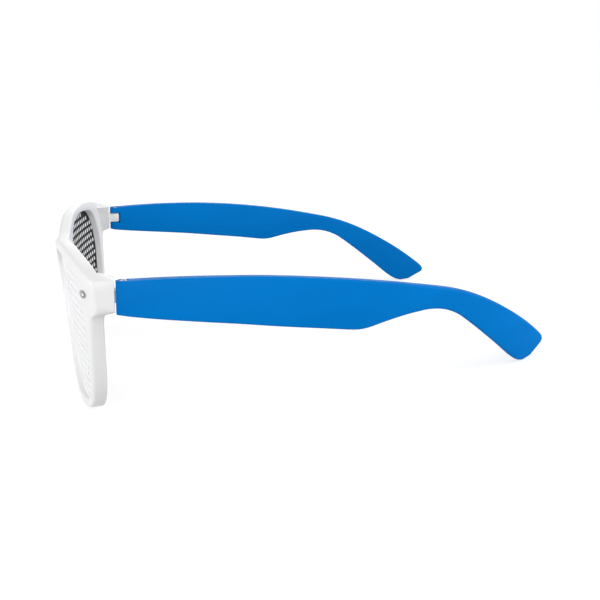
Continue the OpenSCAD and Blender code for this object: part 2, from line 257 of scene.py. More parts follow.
# %% Measured side outline of an arm, in mm from the hinge
ARM_TOP = [
    (0, 4.48), (3.7, 4.68), (11.4, 5.18), (21.8, 5.58), (34.9, 5.68), (42.9, 5.48), (53.9, 4.88),
    (65.3, 3.88), (77.3, 2.43), (90.1, 0.43), (95.9, -0.72), (100.1, -1.87), (104.3, -3.32),
    (108.2, -4.92), (112.3, -6.82), (116.6, -9.07), (121.2, -11.72), (126.1, -14.92),
    (129.9, -17.72), (132.2, -19.62), (133.0, -21.02),
]
ARM_LOW = [
    (0, -4.47), (3.5, -4.97), (11.3, -5.72), (21.7, -6.52), (32.4, -7.32), (43.2, -8.32),
    (54.4, -9.27), (63.1, -10.12), (65.9, -10.27), (67.7, -10.07), (69.9, -9.57), (73.9, -8.42),
    (79.4, -7.12), (84.2, -6.32), (87.4, -5.97), (91.1, -6.17), (94.3, -6.92), (97.7, -8.42),
    (101.5, -10.92), (105.5, -13.82), (109.6, -16.92), (114.0, -20.32), (119.5, -24.72),
    (121.9, -26.12), (123.5, -26.62), (125.1, -26.67), (126.9, -26.17), (128.5, -25.12),
    (130.7, -23.42), (132.5, -22.02),
]
ARM_TIES = [
    ((0, 4.48), (0, -4.47)), ((34.9, 5.68), (34.0, -7.45)), ((65.3, 3.88), (65.9, -10.27)),
    ((90.1, 0.43), (87.4, -5.97)), ((108.2, -4.92), (101.5, -10.92)),
    ((121.2, -11.72), (114.0, -20.32)), ((129.9, -17.72), (124.3, -26.7)),
    ((133.0, -21.02), (132.5, -22.02)),
]


def tied_stations(first, second, ties, pitch, first_step=0.0):
    """Pairs of points, one on each line, with the tied places opposite each other. A tie may add
    a shift for the point halfway between them. The lines' ends are tied whatever they are."""
    runs = lengths_along(first), lengths_along(second)
    marks = []
    for a, b, *shift in ties:
        marks.append(
            (nearest_length(first, runs[0], a), nearest_length(second, runs[1], b),
             Vector(shift[0] if shift else (0, 0)))
        )
    marks[0] = (0.0, 0.0, marks[0][2])
    marks[-1] = (runs[0][-1], runs[1][-1], marks[-1][2])
    found = []
    for (a0, b0, s0), (a1, b1, s1) in zip(marks, marks[1:]):
        steps = max(1, round((a1 - a0) / pitch))
        for k in range(steps):
            u = k / steps
            found.append((a0 + (a1 - a0) * u, b0 + (b1 - b0) * u, s0.lerp(s1, u)))
    found.append(marks[-1])
    if first_step:
        found = [found[0]] + [q for q in found if q[0] >= first_step]
    return [(place_on(first, runs[0], a), place_on(second, runs[1], b), s) for a, b, s in found]


stations = tied_stations(
    smooth_line(ARM_TOP), smooth_line(ARM_LOW), ARM_TIES, pitch=1.6, first_step=2.9
)
print("arm stations:", len(stations))

# %% [markdown]
# Seen from above, the outside of the arm is two arcs that meet at its widest point, 50 mm behind
# the hinge. The inside has its own arcs, so the arm is thicker at the hinge, where the screw needs
# room. The sheet is bent by putting each point on its arc.

# %% How far out the arm's two sides lie
HINGE_OUT, HINGE_IN = 71.9, 67.2  # the two sides at the hinge, in mm from the middle plane
WIDEST, WIDEST_AT = 75.4, 50.0  # the outside's widest point, and how far behind the hinge it is
THICK = 3.6  # the arm's thickness from its widest point to the tip
REAR = 184.0  # radius of the outside's rear arc


def arc_side(t, side_at_hinge, side_at_widest, rear_radius):
    if t > WIDEST_AT:
        return WIDEST - REAR + math.sqrt(rear_radius**2 - (t - WIDEST_AT) ** 2)
    bulge = side_at_widest - side_at_hinge
    radius = (WIDEST_AT**2 + bulge**2) / (2 * bulge)
    return side_at_widest - radius + math.sqrt(radius**2 - (t - WIDEST_AT) ** 2)


def outside(t):
    return arc_side(t, HINGE_OUT, WIDEST, REAR)


def inside(t):
    return arc_side(t, HINGE_IN, WIDEST - THICK, REAR - THICK)


tip = ARM_TOP[-1][0]
print("arm thickness at the hinge:", round(outside(0) - inside(0), 2), "mm, and at the tip:",
      round(outside(tip) - inside(tip), 2))

# %% Sheet of the arm's outside, extruded to its thickness
start_clean()
bpy.ops.mesh.primitive_grid_add(x_subdivisions=len(stations) - 1, y_subdivisions=2, size=2)
left_arm = name_it("left_arm_bar")
for v in left_arm.data.vertices:
    column = round((v.co.x + 1) / 2 * (len(stations) - 1))
    top, low = stations[column][:2]
    spot = top.lerp(low, (1 - v.co.y) / 2)
    v.co = Vector((1, spot.x, spot.y)) * MM
edit_all(left_arm)
bpy.ops.mesh.extrude_region_move(TRANSFORM_OT_translate={"value": (-MM, 0, 0)})
turn_faces_out(left_arm)
for v in left_arm.data.vertices:
    t = v.co.y / MM
    v.co.x = (outside(t) if v.co.x > 0.5 * MM else inside(t)) * MM
print("arm sheet:", len(left_arm.data.polygons), "faces")

# %% [markdown]
# Edges come next. The inside of the front end is rounded around the screw, so that the arm can
# swing past the front. All long edges are rounded a little, as on the real bar, and the front end
# stays crisper because it lies against the white end piece.

# %% Round the inner front edge, then all the outline's edges
CORNER = 50  # faces that meet at more than this many degrees make an edge to round
SWING_ROUND, LONG_ROUND, FRONT_ROUND = 2.0, 0.75, 0.3


def turns(edge, least):
    return len(edge.link_faces) == 2 and edge.calc_face_angle() > math.radians(least)


def at_front(edge, reach):
    """Whether the whole edge lies within this reach, in mm, of the arm's front end."""
    return all(v.co.y < reach * MM for v in edge.verts)


def is_inner_front(edge):
    return at_front(edge, 0.1) and all(v.co.x < (HINGE_IN + 0.1) * MM for v in edge.verts)


def is_long_edge(edge):
    return turns(edge, CORNER) and not at_front(edge, 0.05)


def is_front_edge(edge):
    return turns(edge, CORNER) and at_front(edge, 0.05)


def bevel_picked(offset, segments, clamp=False):
    bpy.ops.mesh.bevel(
        offset=offset * MM, segments=segments, affect="EDGES", clamp_overlap=clamp
    )


pick(left_arm, "edges", is_inner_front)
bevel_picked(SWING_ROUND, 8)
count = pick(left_arm, "edges", is_long_edge)
bevel_picked(LONG_ROUND, 4)
print("rounded", count, "outline edges of the arm")
count = pick(left_arm, "edges", is_front_edge)
bevel_picked(FRONT_ROUND, 3)
bpy.ops.object.mode_set(mode="OBJECT")
print("eased", count, "edges of the arm's front end")

# %% [markdown]
# The hinge is a slot in the arm with a screw through it. The front's tongue turns in the slot, so
# two ears of the arm lie above and below it. The slot, the screw's bore and the seat of its head
# are cut out with plain shapes, as a slide in the mould forms them.

# %% Slot, bore and head seat
SCREW_X, SCREW_T = 69.2, 2.2  # the screw's axis, and how far behind the arm's front end it is
SLOT_LOW, SLOT_HIGH = (60, -2, -1.6), (71.1, 4.1, 2.3)  # opposite corners
ARM_BORE, HEAD_BORE, HEAD_SEAT = 0.73, 1.35, 3.555  # two radii and the seat's height
PAST_ARM = 9  # further up and down than the arm reaches


def block(low_corner, high_corner):
    start_clean()
    middle = [(a + b) / 2 * MM for a, b in zip(low_corner, high_corner)]
    bpy.ops.mesh.primitive_cube_add(size=1, location=middle)
    shape = name_it("cutter")
    shape.scale = [(b - a) * MM for a, b in zip(low_corner, high_corner)]
    bpy.ops.object.transform_apply(location=True, rotation=True, scale=True)
    return shape


def upright_rod(radius, low_z, high_z, sides=40):
    start_clean()
    bpy.ops.mesh.primitive_cylinder_add(
        vertices=sides, radius=radius * MM, depth=(high_z - low_z) * MM,
        location=(SCREW_X * MM, SCREW_T * MM, (low_z + high_z) / 2 * MM),
    )
    shape = name_it("cutter")
    bpy.ops.object.transform_apply(location=True, rotation=True, scale=True)
    return shape


cut_away(left_arm, block(SLOT_LOW, SLOT_HIGH))
cut_away(left_arm, upright_rod(ARM_BORE, -PAST_ARM, PAST_ARM))
cut_away(left_arm, upright_rod(HEAD_BORE, HEAD_SEAT, PAST_ARM))
print("arm with its slot:", len(left_arm.data.polygons), "faces")

# %% [markdown]
# The arm was modelled lying straight. It is now tilted and moved to the hinge, and the right arm is
# its mirrored copy.

# %% Stand the arm at its hinge and mirror it
HINGE_PLACE = Vector((0, -0.05626529, 0.03895650))  # the middle of the arm's front end, in metres
ARM_SLOPE = math.radians(5.69813)

left_arm.location = HINGE_PLACE
left_arm.rotation_euler = (-ARM_SLOPE, 0, 0)
take(left_arm)
bpy.ops.object.transform_apply(location=True, rotation=True, scale=True)
smooth_faces(left_arm)
right_arm = mirrored_copy(left_arm, "right_arm_bar")
for piece, side in ((left_arm, "left"), (right_arm, "right")):
    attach(piece, side + "_arm")
    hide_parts(side + "_temple")
    low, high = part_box(side + "_temple")
    for axis, letter in enumerate("xyz"):
        spots = [v.co[axis] for v in piece.data.vertices]
        print(piece.name, letter, "ends off the packed arm's by",
              round((min(spots) - low[axis]) / MM, 2), round((max(spots) - high[axis]) / MM, 2))

# %% [markdown]
# ## The moulded front
# The front is one thick piece of white plastic: two rims, the bridge between them and an end piece
# on each side that carries the hinge. It is drawn flat first, as a designer draws it in the front
# view, and bent round the face afterwards. Half of it is enough, because the other half is its
# mirror image. A grid is wrapped round the lens opening like a belt: its inner row lies on the
# opening, its outer row on the outline, and tied places keep the two rows opposite each other.

# %% Measured outlines of the front, in mm
BROW = [
    (0, 44.3), (4.2, 44.6), (6.6, 44.7), (9.1, 45.1), (14.0, 46.3), (18.9, 47.4), (23.8, 48.5),
    (28.7, 49.0), (34.5, 49.4), (41, 49.5), (45.8, 49.5), (50.7, 49.0), (55.6, 48.5),
    (60.5, 47.7), (65.4, 46.6), (69.2, 45.4), (71.3, 44.6), (72.35, 43.9), (72.6, 42.9),
]
RIM_LOW = [
    (72.6, 36.9), (72.2, 35.7), (71.2, 34.9), (69.7, 34.1), (68.7, 32.9), (67.9, 31.0),
    (67.0, 28.1), (66.0, 24.6), (65.0, 21.2), (64.1, 17.9), (62.8, 14.2), (61.1, 10.5),
    (58.5, 6.9), (56.3, 4.9), (53.2, 3.15), (47.9, 1.35), (43.4, 0.55), (38.5, 0), (33.6, 0.15),
    (28.7, 0.9), (24.6, 2.0), (21.2, 3.6), (17.5, 6.5), (15.3, 8.7), (13.6, 10.5), (11.5, 13.6),
    (10.1, 16.4), (8.6, 19.9), (7.3, 23.4), (5.95, 27.0), (4.9, 30.2), (4.1, 31.4), (2.9, 32.0),
    (1.5, 32.25), (0, 32.3),
]
OPENING = [
    (12.2, 38.0), (13.5, 39.9), (15.5, 41.6), (18.3, 43.1), (21.3, 44.2), (24.8, 45.2),
    (29.0, 46.1), (33.6, 46.5), (38.5, 46.6), (43.4, 46.5), (48.3, 46.0), (51.6, 45.6),
    (55.3, 44.9), (57.8, 43.8), (59.7, 42.2), (61.2, 40.2), (62.3, 38.3), (63.0, 36.2),
    (63.5, 33.6), (63.75, 30.5), (63.6, 27.8), (63.1, 24.8), (62.3, 21.4), (61.4, 17.9),
    (60.2, 14.4), (58.6, 11.4), (56.8, 8.9), (54.6, 6.9), (51.6, 5.3), (47.6, 4.15),
    (43.4, 3.4), (38.5, 3.15), (33.6, 3.4), (29.0, 4.3), (25.5, 5.6), (22.2, 7.4), (19.3, 9.6),
    (17.3, 11.6), (15.8, 13.8), (14.3, 16.7), (12.9, 19.7), (11.7, 23.0), (11.1, 26.3),
    (10.8, 29.8), (10.9, 33.2), (11.4, 35.9),
]
RIM_TIES = [
    ((0, 44.3), (12.2, 38.0), (-2.9, -0.85)), ((14.0, 46.3), (18.3, 43.1)),
    ((38.5, 49.5), (38.5, 46.6)), ((69.2, 45.4), (59.7, 42.2)), ((72.6, 39.9), (63.0, 36.2)),
    ((69.7, 34.1), (63.7, 32.5)), ((65.0, 21.2), (62.3, 21.4)), ((56.3, 4.9), (54.6, 6.9)),
    ((38.5, 0), (38.5, 3.15)), ((17.5, 6.5), (20.5, 8.6)), ((7.3, 23.4), (11.7, 23.0)),
    ((4.9, 30.2), (10.8, 29.8), (0, 0.8)), ((2.9, 32.0), (10.85, 31.5), (-0.9, 2.85)),
    ((0, 32.3), (10.9, 33.2), (-1.85, 3.45)), ((0, 44.3), (12.2, 38.0), (-2.9, -0.85)),
]
OUTER_END = BROW[-1][0]
BRIDGE_FOOT, BRIDGE_HIGH = RIM_LOW[-1][1], 12
outline = smooth_line(BROW) + smooth_line([BROW[-1], (OUTER_END, 39.9), RIM_LOW[0]])[1:]
outline += smooth_line(RIM_LOW)[1:]
outline += [Vector((0, BRIDGE_FOOT + k)) for k in range(1, BRIDGE_HIGH + 1)]
belt = tied_stations(outline, smooth_line(OPENING, closed=True), RIM_TIES, pitch=1.1)
print("stations round one rim:", len(belt))

# %% [markdown]
# The last stretch of the belt runs up the middle of the bridge, where the mirrored half will join
# on. There the ties also shift the middle row, so that the faces stay well shaped at the corner of
# the nose gap.

# %% Belt of faces round one lens opening, mirrored
start_clean()
bpy.ops.mesh.primitive_grid_add(x_subdivisions=len(belt) - 1, y_subdivisions=2, size=2)
front = name_it("white_front")
for v in front.data.vertices:
    column = round((v.co.x + 1) / 2 * (len(belt) - 1))
    rim_point, opening_point, shift = belt[column]
    spot = opening_point.lerp(rim_point, (v.co.y + 1) / 2)
    if abs(v.co.y) < 0.1:
        spot += shift
    v.co = Vector((spot.x, 0, spot.y)) * MM
edit_all(front)
bpy.ops.mesh.remove_doubles(threshold=0.01 * MM)
bpy.ops.object.mode_set(mode="OBJECT")
mirror = front.modifiers.new("other_half", "MIRROR")
mirror.merge_threshold = 0.02 * MM
apply_modifier(front, mirror)
print("flat front:", len(front.data.polygons), "faces")

# %% [markdown]
# The flat sheet is extruded back to the rim's depth. Then each kind of edge is given its own
# rounding, as a weight: a full soft one along the front outline, a smaller one at the back and a
# fine one round the lens openings. The Bevel modifier will read these weights later.

# %% Extrude the rim and mark how round its edges are
RIM_DEPTH = 4.0
FULL_ROUND = 1.1  # radius in mm, which the shares below refer to
FRONT_SHARE, BACK_SHARE, FINE_SHARE = 1.0, 0.55, 0.3
NEAR_FACE = 0.1 * MM  # what lies nearer than this to the flat front's face is on it
edit_all(front)
bpy.ops.mesh.extrude_region_move(TRANSFORM_OT_translate={"value": (0, RIM_DEPTH * MM, 0)})
turn_faces_out(front)
opening_spots = smooth_line(OPENING, closed=True, steps=20)


def on_opening(vertex):
    flat = Vector((abs(vertex.co.x), vertex.co.z)) / MM
    return min((flat - q).length for q in opening_spots) < 0.12


def rounding_of(edge):
    """How round this edge of the flat front is, as a share of the full rounding."""
    a, b = edge.verts
    if not turns(edge, CORNER) or abs(a.co.y - b.co.y) > NEAR_FACE:
        return 0.0
    if on_opening(a) and on_opening(b):
        return FINE_SHARE
    return FRONT_SHARE if a.co.y < NEAR_FACE else BACK_SHARE


bpy.ops.object.mode_set(mode="EDIT")
shape = bmesh.from_edit_mesh(front.data)
weight = shape.edges.layers.float.new("bevel_weight_edge")
for edge in shape.edges:
    edge[weight] = rounding_of(edge)
print("edges to round:", sum(1 for e in shape.edges if e[weight] > 0))
bmesh.update_edit_mesh(front.data)
bpy.ops.object.mode_set(mode="OBJECT")

# %% [markdown]
# Now the flat front is bent. Every point keeps its height and its distance across, and moves back
# until it lies on a cylinder round the face, at its own depth. A Simple Deform modifier could bend
# it too, but it would shorten the width, and this way the front view stays exactly as it was drawn.
# The face of the outer corners sweeps back a little more, where it turns into the end piece's side.
# The whole front also leans forward by 0.3 degrees, as it stands on its rims.

# %% Bend the front round the face and lean it
WRAP = 245.0 * MM
FRONT_PLACE = Vector((0, -0.07373210, -0.00001594))
FRONT_LEAN = Matrix.Rotation(math.radians(0.3), 4, "X")
SWEEP_FROM, SWEEP_BACK = 64.0, 1.1  # where it begins, and how far back it takes the outer end


def on_the_face(across, depth, level):
    """Where a point of the flat drawing stands on the finished glasses, in metres."""
    back = WRAP - math.sqrt((WRAP - depth) ** 2 - across**2)
    return FRONT_LEAN @ Vector((across, back, level)) + FRONT_PLACE


for v in front.data.vertices:
    swept = max(0.0, abs(v.co.x) / MM - SWEEP_FROM) / (OUTER_END - SWEEP_FROM)
    if v.co.y < NEAR_FACE:
        v.co.y += SWEEP_BACK * swept**2 * MM
    v.co = on_the_face(*v.co)
low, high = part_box("front_frame")
levels = [v.co.z for v in front.data.vertices]
print("front: bottom off the packed front's by", round((min(levels) - low[2]) / MM, 3),
      "mm, top by", round((max(levels) - high[2]) / MM, 3))

# %% [markdown]
# The end pieces grow out of the back of the front's outer ends. The faces there are extruded to the
# plane where the arm butts against them, and squared up to the arm's section on the way. That is
# how the front thickens toward its hinges without a seam.

# %% Grow the end pieces to where the arms begin
ARM_PLACE = Matrix.Translation(HINGE_PLACE) @ Matrix.Rotation(-ARM_SLOPE, 4, "X")
BUTT_T = -0.35  # the end piece stops this far before the arm's front end
END_LOW, END_TOP, END_IN, END_OUT = -3.875, 4.975, 66.5, 72.25  # its section at the arm
END_MIDDLE = 68.6  # points further in than this go to the section's inner side
BACK_FROM, BACK_LOW, BACK_TOP = 66.0, 34.3, 45.7  # the part of the front's back that grows
SOFT_FROM = 67.0  # the root's edges further out than this stay unrounded


def is_end_face(face):
    middle = face.calc_center_median()
    x, z = abs(middle.x) / MM, middle.z / MM
    return face.normal.y > 0.5 and x > BACK_FROM and BACK_LOW < z < BACK_TOP


count = pick(front, "faces", is_end_face)
bpy.ops.mesh.extrude_region_move(TRANSFORM_OT_translate={"value": (0, 1 * MM, 0)})
shape = bmesh.from_edit_mesh(front.data)
weight = shape.edges.layers.float["bevel_weight_edge"]
grown = {v for face in shape.faces if face.select for v in face.verts}
to_arm = ARM_PLACE.inverted()
for v in grown:
    side = math.copysign(1, v.co.x)
    flat = to_arm @ Vector((abs(v.co.x), v.co.y, v.co.z)) / MM
    across = min(flat.x, END_OUT) if flat.x > END_MIDDLE else END_IN
    spot = ARM_PLACE @ (Vector((across, BUTT_T, min(max(flat.z, END_LOW), END_TOP))) * MM)
    v.co = (side * spot.x, spot.y, spot.z)
for edge in shape.edges:
    here = sum(1 for v in edge.verts if v in grown)
    if here == 2 and len([f for f in edge.link_faces if f.select]) == 1:
        edge[weight] = FINE_SHARE
    if here == 1:
        edge[weight] = 0.0
root = {edge.other_vert(v) for v in grown for edge in v.link_edges} - grown
for edge in shape.edges:
    if all(v in root for v in edge.verts) and abs(edge.verts[0].co.x) > SOFT_FROM * MM:
        edge[weight] = 0.0
bmesh.update_edit_mesh(front.data)
bpy.ops.object.mode_set(mode="OBJECT")
print("end pieces grown from", count, "faces")

# %% [markdown]
# With every weight set, one Bevel modifier rounds the whole front. Its width belongs to the full
# weight, and an edge with less weight gets that share of it.

# %% Round all marked edges
rounding = front.modifiers.new("mould_rounding", "BEVEL")
rounding.limit_method = "WEIGHT"
rounding.width = FULL_ROUND * MM
rounding.segments = 5
rounding.use_clamp_overlap = False
apply_modifier(front, rounding)
print("rounded front:", len(front.data.polygons), "faces")

# %% [markdown]
# Behind each end piece stands the hinge tongue, the part of the front that turns in the arm's slot.
# A bar with its end rounded about the screw is enough. It is joined to the front, so that both are
# one solid, as in the mould, and the screw's bore is cut last.

# %% Hinge tongues
TONGUE_LOW, TONGUE_HIGH = (67.6, -1.3, -1.3), (70.75, 3.8, 2.0)  # opposite corners
TONGUE_END, TONGUE_EDGE = 1.57, 0.15  # how much its end and its other edges are rounded
TONGUE_BORE = 0.75  # radius


def stand_at_hinge(shape, side):
    """Puts a shape drawn straight at the arm's hinge into its place, mirrored for the right."""
    shape.data.transform(ARM_PLACE)
    if side < 0:
        take(shape)
        shape.scale.x = -1
        bpy.ops.object.transform_apply(location=True, rotation=True, scale=True)
        turn_faces_out(shape)
    return shape


def is_tongue_end(edge):
    a, b = edge.verts
    return min(a.co.y, b.co.y) > (TONGUE_HIGH[1] - 0.1) * MM and abs(a.co.z - b.co.z) > MM


def is_tongue_side(edge):
    return turns(edge, 60) and all(v.co.y > -MM for v in edge.verts)


for side in (1, -1):
    tongue = block(TONGUE_LOW, TONGUE_HIGH)
    pick(tongue, "edges", is_tongue_end)
    bevel_picked(TONGUE_END, 9)
    pick(tongue, "edges", is_tongue_side)
    bevel_picked(TONGUE_EDGE, 2, clamp=True)
    bpy.ops.object.mode_set(mode="OBJECT")
    join_on(front, stand_at_hinge(tongue, side))
    cut_away(front, stand_at_hinge(upright_rod(TONGUE_BORE, -4, 4), side))
print("front with its tongues:", len(front.data.polygons), "faces")

# %% [markdown]
# Glasses moulded in one piece have no separate nose pads. Two long smooth swellings on the back of
# the rims rest on the nose. A sphere stretched to each pad's length, width and height and sunk into
# the rim gives that form at once.

# %% Moulded nose rests
REST_HALF = (1.85, 2.3, 7.6)  # half of its width, depth and length
REST_SLANT = -21.5  # degrees
REST_SIDE, REST_DEPTH, REST_LEVEL = 10.35, 3.8, 20.7  # its middle on the flat front


def nose_rest(side):
    start_clean()
    bpy.ops.mesh.primitive_uv_sphere_add(segments=40, ring_count=24, radius=MM)
    pad = name_it("nose_rest")
    pad.scale = REST_HALF
    pad.rotation_euler = (0, math.radians(REST_SLANT), 0)
    bpy.ops.object.transform_apply(location=True, rotation=True, scale=True)
    for v in pad.data.vertices:
        x, y, z = v.co
        v.co = on_the_face(
            side * (x + REST_SIDE * MM), y + REST_DEPTH * MM, z + REST_LEVEL * MM
        )
    if side < 0:
        turn_faces_out(pad)
    return pad


for side in (1, -1):
    join_on(front, nose_rest(side))
print("front with nose rests:", len(front.data.polygons), "faces")

# %% [markdown]
# Two hollows flank the bridge, with a ridge left between them and a thin lip above. Each is shallow
# at the ridge, falls away toward the rim and ends there in a steep wall. The cutter is a sheet with
# this profile, extruded forward into a solid and slanted like the wall.

# %% Hollows beside the bridge ridge
HOLLOW = [  # shares of the hollow's width and of its depth, from the ridge outward
    (0.0, -0.02), (0.12, 0.03), (0.24, 0.12), (0.38, 0.28), (0.5, 0.42), (0.62, 0.56),
    (0.74, 0.74), (0.84, 0.9), (0.91, 0.98), (0.955, 0.93), (0.985, 0.7), (1.01, 0.2),
    (1.03, -0.5),
]
HOLLOW_IN, HOLLOW_WIDTH, HOLLOW_DEEP = 0.7, 4.6, 1.5
HOLLOW_FOOT, LIP_LEVEL = 29.5, 42.9  # the cutter's lower and upper end
HOLLOW_SLANT, SLANT_FROM = 9, 30.0  # degrees, and the level at which HOLLOW_IN is right


def hollow_cutter(side):
    start_clean()
    bpy.ops.mesh.primitive_grid_add(x_subdivisions=len(HOLLOW) - 1, y_subdivisions=1, size=2)
    cutter = name_it("cutter")
    slope = math.tan(math.radians(HOLLOW_SLANT))
    for v in cutter.data.vertices:
        share, deep = HOLLOW[round((v.co.x + 1) / 2 * (len(HOLLOW) - 1))]
        level = HOLLOW_FOOT if v.co.y < 0 else LIP_LEVEL
        across = HOLLOW_IN + share * HOLLOW_WIDTH + (level - SLANT_FROM) * slope
        v.co = Vector((across, deep * HOLLOW_DEEP, level)) * MM
    edit_all(cutter)
    bpy.ops.mesh.extrude_region_move(TRANSFORM_OT_translate={"value": (0, -4 * MM, 0)})
    bpy.ops.object.mode_set(mode="OBJECT")
    for v in cutter.data.vertices:
        v.co = on_the_face(side * v.co.x, v.co.y, v.co.z)
    turn_faces_out(cutter)
    return cutter


for side in (1, -1):
    cut_away(front, hollow_cutter(side))
print("front with bridge hollows:", len(front.data.polygons), "faces")

# %% [markdown]
# The front's shape is complete. It is shaded smooth up to its real corners, rides on the front's
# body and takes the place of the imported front.

# %% Finish the front
smooth_faces(front)
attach(front, "front")
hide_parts("front_frame")
print("front in mm:", [round(size / MM, 2) for size in front.dimensions])

# %% [markdown]
# ## Corner studs
# The small bright ovals at the outer corners look like the heads of rivets. Each is a pointed oval
# plate with a soft domed face. A filled circle is squeezed to the pointed oval, then extruded again
# and again in ever smaller and lower steps, which draws the dome.

# %% Domed corner studs
STUD_SIDE, STUD_LEVEL = 66.5, 40.06  # its middle on the front
STUD_LONG, STUD_HIGH = 4.1, 2.2
STUD_SUNK, STUD_EDGE = 0.1, 0.4  # how deep its back sits in the front, and its upright edge
STUD_DOME = ((0.93, 0.1), (0.86, 0.08), (0.78, 0.055), (0.66, 0.035), (0.5, 0.02))


def pointed_oval(angle):
    """A place on the outline shared by two circles, in mm from its middle."""
    half_long, half_high = STUD_LONG / 2, STUD_HIGH / 2
    radius = (half_long**2 + half_high**2) / (2 * half_high)
    x = half_long * math.cos(angle)
    y = math.sqrt(radius**2 - x**2) - (radius - half_high)
    return x, math.copysign(max(y, 0.0), math.sin(angle))


start_clean()
bpy.ops.mesh.primitive_circle_add(vertices=72, radius=1, fill_type="NGON")
left_stud = name_it("left_stud_head")
for v in left_stud.data.vertices:
    x, z = pointed_oval(math.atan2(v.co.y, v.co.x))
    v.co = Vector((x, STUD_SUNK, z)) * MM
edit_all(left_stud)
bpy.ops.mesh.extrude_region_move(TRANSFORM_OT_translate={"value": (0, -STUD_EDGE * MM, 0)})
for narrower, higher in STUD_DOME:
    bpy.ops.mesh.extrude_region_move(TRANSFORM_OT_translate={"value": (0, -higher * MM, 0)})
    bpy.ops.transform.resize(value=(narrower, 1, narrower), center_override=(0, 0, 0))
turn_faces_out(left_stud)

turn = math.asin(STUD_SIDE * MM / WRAP)
left_stud.data.transform(
    Matrix.Translation(FRONT_PLACE)
    @ FRONT_LEAN
    @ Matrix.Translation((0, WRAP, STUD_LEVEL * MM))
    @ Matrix.Rotation(turn, 4, "Z")
    @ Matrix.Translation((0, -WRAP, 0))
)
smooth_faces(left_stud, sharp_from=40)
right_stud = mirrored_copy(left_stud, "right_stud_head")
for piece, side in ((left_stud, "left"), (right_stud, "right")):
    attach(piece, "front")
    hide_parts(side + "_corner_stud")
print("studs:", len(left_stud.data.polygons), "faces each")

# %% [markdown]
# ## Finishes
# A material is a small network of nodes. All of these read Object coordinates, which are metres in
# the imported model's frame, so a grain of half a millimetre is written as such and never slides.
# Each finish has three parts: a colour that drifts a little, as moulded plastic does along its
# flow, a roughness with faint cloudy patches, and a bump with the fine grain of the mould.

# %% Helpers for node networks
def new_finish(name):
    finish = bpy.data.materials.new(name)
    finish.use_nodes = True
    tree = finish.node_tree
    tree.nodes.clear()
    out = tree.nodes.new("ShaderNodeOutputMaterial")
    surface = tree.nodes.new("ShaderNodeBsdfPrincipled")
    place = tree.nodes.new("ShaderNodeTexCoord")
    tree.links.new(surface.outputs[0], out.inputs["Surface"])
    return finish, tree, surface, place.outputs["Object"]


def cloud(tree, place, size_mm, detail=2.0, stretch=(1, 1, 1)):
    """Noise with patches of about this size; stretch makes them longer along an axis."""
    mapping = tree.nodes.new("ShaderNodeMapping")
    mapping.inputs["Scale"].default_value = [1 / s for s in stretch]
    noise = tree.nodes.new("ShaderNodeTexNoise")
    noise.inputs["Scale"].default_value = 1 / (size_mm * MM)
    noise.inputs["Detail"].default_value = detail
    tree.links.new(place, mapping.inputs["Vector"])
    tree.links.new(mapping.outputs[0], noise.inputs["Vector"])
    return noise.outputs["Fac"]


def spread(tree, value, low, high, start=0.3, end=0.7):
    """Maps a 0 to 1 pattern to the range low to high."""
    node = tree.nodes.new("ShaderNodeMapRange")
    node.inputs["From Min"].default_value = start
    node.inputs["From Max"].default_value = end
    node.inputs["To Min"].default_value = low
    node.inputs["To Max"].default_value = high
    tree.links.new(value, node.inputs["Value"])
    return node.outputs["Result"]


def blend_colours(tree, factor, first, second):
    """Mixes two linear colours; a factor of 0 gives the first."""
    node = tree.nodes.new("ShaderNodeMix")
    node.data_type = "RGBA"
    node.inputs["A"].default_value = (*first, 1)
    node.inputs["B"].default_value = (*second, 1)
    tree.links.new(factor, node.inputs["Factor"])
    return node.outputs["Result"]


def tint(tree, surface, patches, first, second):
    """Lets the surface's colour drift between two tones in these patches."""
    tone = blend_colours(tree, spread(tree, patches, 0, 1), first, second)
    tree.links.new(tone, surface.inputs["Base Color"])


def roughen(tree, surface, patches, least, most):
    tree.links.new(spread(tree, patches, least, most), surface.inputs["Roughness"])


def bump(tree, surface, height, depth_mm, strength):
    node = tree.nodes.new("ShaderNodeBump")
    node.inputs["Strength"].default_value = strength
    node.inputs["Distance"].default_value = depth_mm * MM
    tree.links.new(height, node.inputs["Height"])
    tree.links.new(node.outputs["Normal"], surface.inputs["Normal"])


def add(tree, first, second, share):
    """The first pattern plus this many times the second."""
    node = tree.nodes.new("ShaderNodeMath")
    node.operation = "MULTIPLY_ADD"
    node.inputs[1].default_value = share
    tree.links.new(second, node.inputs[0])
    tree.links.new(first, node.inputs[2])
    return node.outputs[0]


def dress(piece, finish):
    piece.data.materials.clear()
    piece.data.materials.append(finish)


# %% [markdown]
# The front is a satin white plastic. Real white plastic isn't pure white: it lets a little light in
# and looks soft, and its gloss is broken by a grain too fine to see by itself.

# %% White moulded plastic
white, tree, surface, place = new_finish("white_moulded_plastic")
flow = cloud(tree, place, 22, 2.0, (1.6, 1, 1))
tint(tree, surface, flow, (0.85, 0.85, 0.855), (0.88, 0.88, 0.88))
roughen(tree, surface, cloud(tree, place, 5, 3.0), 0.3, 0.4)
grain = add(tree, cloud(tree, place, 0.35, 2.0), cloud(tree, place, 9, 1.0), 3.0)
bump(tree, surface, grain, 0.012, 0.5)
surface.inputs["Specular IOR Level"].default_value = 0.4
dress(front, white)
print("finish:", white.name)

# %% [markdown]
# The arms are a saturated blue plastic with a satin skin. The blue is a little deeper in long
# patches that follow the arm, where the melt flowed.

